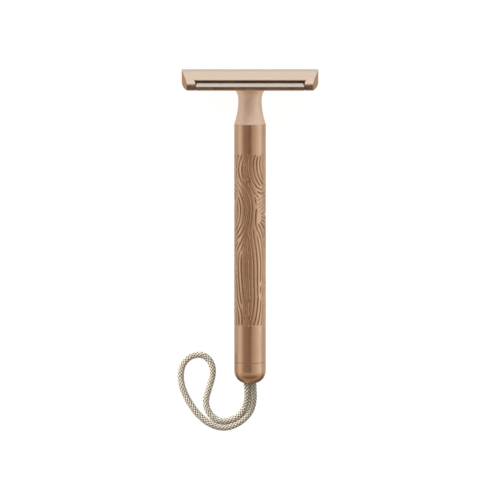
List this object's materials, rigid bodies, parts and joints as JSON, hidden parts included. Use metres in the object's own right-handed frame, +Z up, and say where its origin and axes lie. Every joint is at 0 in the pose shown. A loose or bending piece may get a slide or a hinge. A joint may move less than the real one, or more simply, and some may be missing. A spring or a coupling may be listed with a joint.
{
  "type": "safety razor",
  "caption": "Double-edge safety razor with a closed-cheek head, waisted neck, line-patterned round handle and a braided cord loop at its foot.",
  "frame": {"origin": "on the resting plane, under the middle of the box around the razor without its cord", "axes": "+Y from the foot towards the head, +X across the head's width, +Z up from the plane that the razor lies on"},
  "size_m": [0.0496, 0.1273, 0.0246],
  "materials": {
    "head_alloy": "satin rose-gold plating over die-cast alloy",
    "anodised_alloy": "fine matt rose-gold anodising",
    "blade_steel": "bright stainless strip",
    "stud_steel": "turned and threaded steel",
    "insert_brass": "turned brass",
    "seal_rubber": "matt black rubber",
    "crimp_metal": "pressed soft aluminium",
    "cord_fibre": "natural beige braid"
  },
  "bodies": {
    "handle": {"handle_sleeve": "anodised_alloy", "handle_weight": "insert_brass", "neck_collar": "head_alloy", "threaded_insert": "insert_brass"},
    "guard": {"guard_plate": "head_alloy"},
    "blade": {"razor_blade": "blade_steel"},
    "cover": {"blade_cover": "head_alloy", "cover_stud": "stud_steel"},
    "seal": {"end_cap_seal": "seal_rubber"},
    "end_cap": {"end_cap": "anodised_alloy", "cord_crimp": "crimp_metal", "cord_loop": "cord_fibre"}
  },
  "joints": [
    {"name": "head_turn", "type": "hinge", "parent": "handle", "child": "guard", "pos_m": [0, 0.04846, 0.01225], "axis": [0, 0.9977, 0.0674], "range_deg": [0, 2520]},
    {"name": "cover_lift", "type": "slide", "parent": "guard", "child": "cover", "axis": [0, 0.9977, 0.0674], "range_m": [0, 0.00561]},
    {"name": "blade_lift", "type": "slide", "parent": "guard", "child": "blade", "axis": [0, 0.9977, 0.0674], "range_m": [0, 0.00281]},
    {"name": "end_cap_slide", "type": "slide", "parent": "handle", "child": "seal", "axis": [0, -0.9977, -0.0674], "range_m": [0, 0.00601]},
    {"name": "end_cap_turn", "type": "hinge", "parent": "seal", "child": "end_cap", "pos_m": [0, -0.04822, 0.00572], "axis": [0, -0.9977, -0.0674], "range_deg": [0, 2160]}
  ],
  "couplings": [
    {"joint": "cover_lift", "follows": "head_turn", "m_per_rad": 0.00012732},
    {"joint": "blade_lift", "follows": "head_turn", "m_per_rad": 0.000063662},
    {"joint": "end_cap_slide", "follows": "end_cap_turn", "m_per_rad": 0.00015915}
  ]
}
